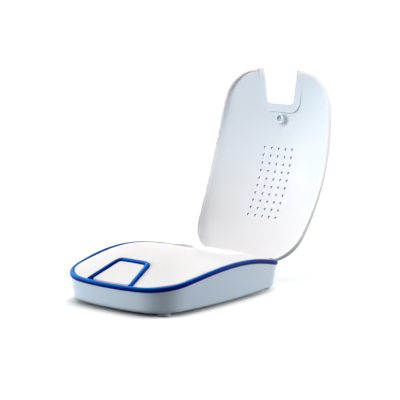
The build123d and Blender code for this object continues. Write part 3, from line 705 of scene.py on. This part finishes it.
# %% The tree for a bead
def node_tree(name, inputs):
    """An empty geometry tree with its named inputs."""
    tree = bpy.data.node_groups.new(name, "GeometryNodeTree")
    tree.interface.new_socket("Geometry", in_out="INPUT", socket_type="NodeSocketGeometry")
    for socket, kind in inputs.items():
        tree.interface.new_socket(socket, in_out="INPUT", socket_type="NodeSocket" + kind)
    tree.interface.new_socket("Geometry", in_out="OUTPUT", socket_type="NodeSocketGeometry")
    return tree, tree.nodes.new("NodeGroupInput"), tree.nodes.new("NodeGroupOutput")


def chain(tree, start, *steps):
    """Nodes in a row, each given by its kind and the names of the sockets that it is joined by."""
    socket = start
    for kind, into, out in steps:
        node = tree.nodes.new(kind)
        tree.links.new(socket, node.inputs[into])
        socket = node.outputs[out]
    return socket


def bead_tree():
    """An oval profile swept along a smooth line."""
    tree, given, result = node_tree(
        "Bead Along a Line",
        {"Width": "Float", "Height": "Float", "Step": "Float", "Finish": "Material"})
    curve = tree.nodes.new("GeometryNodeMeshToCurve")
    tree.links.new(given.outputs["Geometry"], curve.inputs["Mesh"])
    smooth = tree.nodes.new("GeometryNodeCurveSplineType")
    smooth.spline_type = "CATMULL_ROM"
    tree.links.new(curve.outputs["Curve"], smooth.inputs["Curve"])
    even = tree.nodes.new("GeometryNodeResampleCurve")
    even.mode = "LENGTH"
    tree.links.new(smooth.outputs["Curve"], even.inputs["Curve"])
    tree.links.new(given.outputs["Step"], even.inputs["Length"])
    level = tree.nodes.new("GeometryNodeSetCurveNormal")
    level.mode = "Z_UP"
    tree.links.new(even.outputs["Curve"], level.inputs["Curve"])
    circle = tree.nodes.new("GeometryNodeCurvePrimitiveCircle")
    circle.inputs["Resolution"].default_value = PROFILE_SIDES
    circle.inputs["Radius"].default_value = 0.5
    shape = tree.nodes.new("ShaderNodeCombineXYZ")
    tree.links.new(given.outputs["Height"], shape.inputs["X"])
    tree.links.new(given.outputs["Width"], shape.inputs["Y"])
    shape.inputs["Z"].default_value = 1.0
    oval = tree.nodes.new("GeometryNodeTransform")
    tree.links.new(circle.outputs["Curve"], oval.inputs["Geometry"])
    tree.links.new(shape.outputs["Vector"], oval.inputs["Scale"])
    sweep = tree.nodes.new("GeometryNodeCurveToMesh")
    sweep.inputs["Fill Caps"].default_value = True
    tree.links.new(level.outputs["Curve"], sweep.inputs["Curve"])
    tree.links.new(oval.outputs["Geometry"], sweep.inputs["Profile Curve"])
    finish_tree(tree, given, sweep.outputs["Mesh"], result)
    return tree


def finish_tree(tree, given, socket, result):
    """Smooth, realize and colour what a tree made."""
    last = chain(tree, socket, ("GeometryNodeSetShadeSmooth", "Geometry", "Geometry"),
                 ("GeometryNodeRealizeInstances", "Geometry", "Geometry"))
    colour = tree.nodes.new("GeometryNodeSetMaterial")
    tree.links.new(last, colour.inputs["Geometry"])
    tree.links.new(given.outputs["Finish"], colour.inputs["Material"])
    tree.links.new(colour.outputs["Geometry"], result.inputs["Geometry"])


def grown(name, mesh, tree, values):
    """Run a tree on a mesh and keep the result as a plain mesh."""
    source = bpy.data.objects.new(name + "_source", mesh)
    bpy.context.scene.collection.objects.link(source)
    modifier = source.modifiers.new("grow", "NODES")
    modifier.node_group = tree
    sockets = {item.name: item.identifier for item in tree.interface.items_tree
               if item.item_type == "SOCKET" and item.in_out == "INPUT"}
    for socket, value in values.items():
        modifier[sockets[socket]] = value
    evaluated = source.evaluated_get(bpy.context.evaluated_depsgraph_get())
    result = bpy.data.meshes.new_from_object(evaluated)
    result.name = name
    bpy.data.objects.remove(source)
    return result


def line_mesh(name, points):
    """A mesh of edges from point to point."""
    mesh = bpy.data.meshes.new(name)
    mesh.from_pydata(points, [(i, i + 1) for i in range(len(points) - 1)], [])
    return mesh


PROFILE_SIDES = 28
bead = bead_tree()
print("bead tree with", len(bead.nodes), "nodes")

# %% [markdown]
# The rim's bead stops on both sides of the hinge, flush with the cut-out for the lid's barrel. The key's
# bead runs on into the rim's, as the moulded seal does, so its front ends never show. The path's ends are
# run straight on by the length that is missing, worked out from their last slices.

# %% Grow the two seals
SEAL_WIDTH = 3.3 * MM
BEAD_STEP = 0.8 * MM
KEY_SEAL_RUN_ON = 2.8 * MM
HINGE_CUT = 28.6 * MM                            # half the width of the cut-out


def short_by(end, inner):
    """How far a path's end lies short of the cut-out, along its own direction."""
    return (abs(end[0]) - HINGE_CUT) / abs(end[0] - inner[0]) * math.dist(end, inner)


def to_hinge_cut(points):
    """The rim's path carried on to the cut-out for the hinge."""
    return lengthened(points, short_by(points[0], points[2]), short_by(points[-1], points[-3]))


paths = {"perimeter_seal": to_hinge_cut(rim_path),
         "key_seal": lengthened(key_path, KEY_SEAL_RUN_ON, KEY_SEAL_RUN_ON)}
for node, path in paths.items():
    mesh = grown(node + "_bead", line_mesh(node + "_path", path), bead,
                 {"Width": SEAL_WIDTH, "Height": SEAL_HEIGHT, "Step": BEAD_STEP,
                  "Finish": finishes["blue_seal"]})
    added(node + "_bead", mesh, "base", "blue_seal", node)

# %% [markdown]
# ## The screws
# Every screw in the dryer is the same small machine screw in a few sizes: a low domed head with a cross
# recess, and a shank with a fine thread that only shows as rings. One screw is turned and cut once in mesh
# code, and a Geometry Nodes tree puts a copy at each place, sized by its inputs. A point cloud of places is
# easy to read from the solids: each screw there is a loose island of triangles.

# %% One screw in unit sizes
HEAD_SIDES, SHANK_SIDES = 32, 20
DOME_STEPS = 5
RIM_HEIGHT = 0.45                                # the head's upright edge, below its dome
RECESS_DEPTH, RECESS_HALF, RECESS_REACH = 0.45, 0.13, 0.56
THREAD_RINGS = 14
CORE = 0.86                                      # radius between the rings
THREADED = 0.94                                  # share of the shank that has rings
POINT = [(0.7, -0.97), (0.35, -1.0), (0, -1.0)]


def turned(bm, profile, sides):
    """A closed turned shape from a row of (radius, height) that starts and ends on the axis."""
    angles = [2 * math.pi * i / sides for i in range(sides)]
    rings = [[bm.verts.new((radius * math.cos(angle), radius * math.sin(angle), height))
              for angle in angles] for radius, height in profile[1:-1]]
    first, last = bm.verts.new((0, 0, profile[0][1])), bm.verts.new((0, 0, profile[-1][1]))
    for i in range(sides):
        following = (i + 1) % sides
        bm.faces.new((first, rings[0][i], rings[0][following]))
        bm.faces.new((last, rings[-1][following], rings[-1][i]))
        for near, far in zip(rings, rings[1:]):
            bm.faces.new((near[i], far[i], far[following], near[following]))
    bmesh.ops.recalc_face_normals(bm, faces=bm.faces)


def cross_cutter():
    """The cross recess as a solid to cut with."""
    bm = bmesh.new()
    for turn_by in (0, math.pi / 2):
        sizes = Matrix.Diagonal((2 * RECESS_REACH, 2 * RECESS_HALF, 2 * RECESS_DEPTH, 1))
        arm = bmesh.ops.create_cube(bm, size=1, matrix=Matrix.Rotation(turn_by, 4, "Z") @ sizes)
        bmesh.ops.translate(bm, verts=arm["verts"], vec=(0, 0, 1.0))
    mesh = bpy.data.meshes.new("cross")
    bm.to_mesh(mesh)
    bm.free()
    return bpy.data.objects.new("cross", mesh)


def screw_head():
    """A domed head one unit in radius and one high, with a cross recess, standing on its seat."""
    profile = [(0, 0), (1, 0), (1, RIM_HEIGHT)]
    for k in range(1, DOME_STEPS):
        angle = math.pi / 2 * k / DOME_STEPS
        profile.append((math.cos(angle), RIM_HEIGHT + (1 - RIM_HEIGHT) * math.sin(angle)))
    profile.append((0, 1.0))
    bm = bmesh.new()
    turned(bm, profile, HEAD_SIDES)
    mesh = bpy.data.meshes.new("screw_head")
    bm.to_mesh(mesh)
    bm.free()
    head = bpy.data.objects.new("screw_head", mesh)
    cutter = cross_cutter()
    for obj in (head, cutter):
        bpy.context.scene.collection.objects.link(obj)
    cut = head.modifiers.new("cut", "BOOLEAN")
    cut.object = cutter
    cut.solver = "EXACT"
    cut.use_self = True
    result = bpy.data.meshes.new_from_object(head.evaluated_get(bpy.context.evaluated_depsgraph_get()))
    bpy.data.objects.remove(head)
    bpy.data.objects.remove(cutter)
    return result


def screw_shank():
    """A shank one unit in radius and one long, ringed for its thread, running down from its seat."""
    pitch = THREADED / THREAD_RINGS
    profile = [(0, 0), (CORE, 0)]
    for k in range(THREAD_RINGS):
        top = -(k + 1 / 4) * pitch
        profile += [(CORE, top), (1.0, top - pitch / 4), (CORE, top - pitch / 2)]
    profile += POINT
    bm = bmesh.new()
    turned(bm, profile, SHANK_SIDES)
    mesh = bpy.data.meshes.new("screw_shank")
    bm.to_mesh(mesh)
    bm.free()
    return mesh


head_mesh, shank_mesh = screw_head(), screw_shank()
print("screw head", len(head_mesh.polygons), "faces, shank", len(shank_mesh.polygons))

# %% [markdown]
# The tree takes a point for each place and two shapes, the head and the shank. Each is scaled by its own
# inputs, because a screw's head and shank grow by different amounts. "Flip" turns the screws over, for those
# that are driven in from below.

# %% The tree that puts screws at their places
def screw_tree():
    """A head and a shank at every point, each scaled by its own inputs."""
    tree, given, result = node_tree(
        "Screws at Places",
        {"Head": "Object", "Shank": "Object", "Head Radius": "Float", "Head Height": "Float",
         "Shank Radius": "Float", "Shank Length": "Float", "Flip": "Vector", "Finish": "Material"})
    both = tree.nodes.new("GeometryNodeJoinGeometry")
    for shape, radius, length in (("Head", "Head Radius", "Head Height"),
                                  ("Shank", "Shank Radius", "Shank Length")):
        shape_info = tree.nodes.new("GeometryNodeObjectInfo")
        tree.links.new(given.outputs[shape], shape_info.inputs["Object"])
        size = tree.nodes.new("ShaderNodeCombineXYZ")
        for axis, source in (("X", radius), ("Y", radius), ("Z", length)):
            tree.links.new(given.outputs[source], size.inputs[axis])
        put = tree.nodes.new("GeometryNodeInstanceOnPoints")
        tree.links.new(given.outputs["Geometry"], put.inputs["Points"])
        tree.links.new(shape_info.outputs["Geometry"], put.inputs["Instance"])
        tree.links.new(size.outputs["Vector"], put.inputs["Scale"])
        tree.links.new(given.outputs["Flip"], put.inputs["Rotation"])
        tree.links.new(put.outputs["Instances"], both.inputs["Geometry"])
    realized = chain(tree, both.outputs["Geometry"], ("GeometryNodeRealizeInstances", "Geometry", "Geometry"))
    colour = tree.nodes.new("GeometryNodeSetMaterial")
    tree.links.new(realized, colour.inputs["Geometry"])
    tree.links.new(given.outputs["Finish"], colour.inputs["Material"])
    tree.links.new(colour.outputs["Geometry"], result.inputs["Geometry"])
    return tree


screws_at_places = screw_tree()
print("screw tree with", len(screws_at_places.nodes), "nodes")

# %% [markdown]
# A node with several screws is split into its loose islands. Each island's lowest and highest points, and
# the widest and narrowest radius round its own axis, give the screw its place and all four of its sizes.

# %% Read the screws from the solids
def islands(node):
    """The corners of each loose island of a node, as arrays."""
    bm = merged(node)
    left = set(bm.verts)
    groups = []
    while left:
        todo, group = [left.pop()], []
        while todo:
            vertex = todo.pop()
            group.append(tuple(vertex.co))
            for edge in vertex.link_edges:
                other = edge.other_vert(vertex)
                if other in left:
                    left.remove(other)
                    todo.append(other)
        groups.append(np.array(group))
    bm.free()
    return groups


WIDEST = 0.95                                    # the head is what is wider than this share


def measured_screw(corners):
    """Place of the seat, head radius and height, shank radius and length, and whether it points up."""
    low, high = corners.min(0), corners.max(0)
    middle = (low + high)[:2] / 2
    radius = np.hypot(*(corners[:, :2] - middle).T)
    head = corners[radius > WIDEST * radius.max()]
    head_down = head[:, 2].min() <= low[2] + MERGE
    seat = head[:, 2].max() if head_down else head[:, 2].min()
    shank_end = high[2] if head_down else low[2]
    shank_radius = radius[np.abs(corners[:, 2] - shank_end) < MERGE].max()
    return (*middle, seat), radius.max(), np.ptp(head[:, 2]), shank_radius, abs(shank_end - seat), head_down


shapes = {}
for name, mesh in (("screw_head", head_mesh), ("screw_shank", shank_mesh)):
    shapes[name] = bpy.data.objects.new(name, mesh)
for node in ("case_screws", "board_screws", "fan_screws"):
    measured = [measured_screw(corners) for corners in islands(node)]
    places = bpy.data.meshes.new(node + "_places")
    places.from_pydata([m[0] for m in measured], [], [])
    _, head_radius, head_height, shank_radius, shank_length, head_down = measured[0]
    mesh = grown(node + "_turned", places, screws_at_places,
                 {"Head": shapes["screw_head"], "Shank": shapes["screw_shank"], "Head Radius": head_radius,
                  "Head Height": head_height, "Shank Radius": shank_radius, "Shank Length": shank_length,
                  "Flip": (math.pi if head_down else 0.0, 0, 0), "Finish": finishes["steel"]})
    mesh.polygons.foreach_set("use_smooth", [False] * len(mesh.polygons))
    added(node + "_turned", mesh, nodes[node]["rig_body"], slot_of[node], node)
    print(node, len(measured), "screws, head radius", round(head_radius / MM, 2), "mm, shank",
          round(shank_length / MM, 1), "mm", "from below" if head_down else "from above")
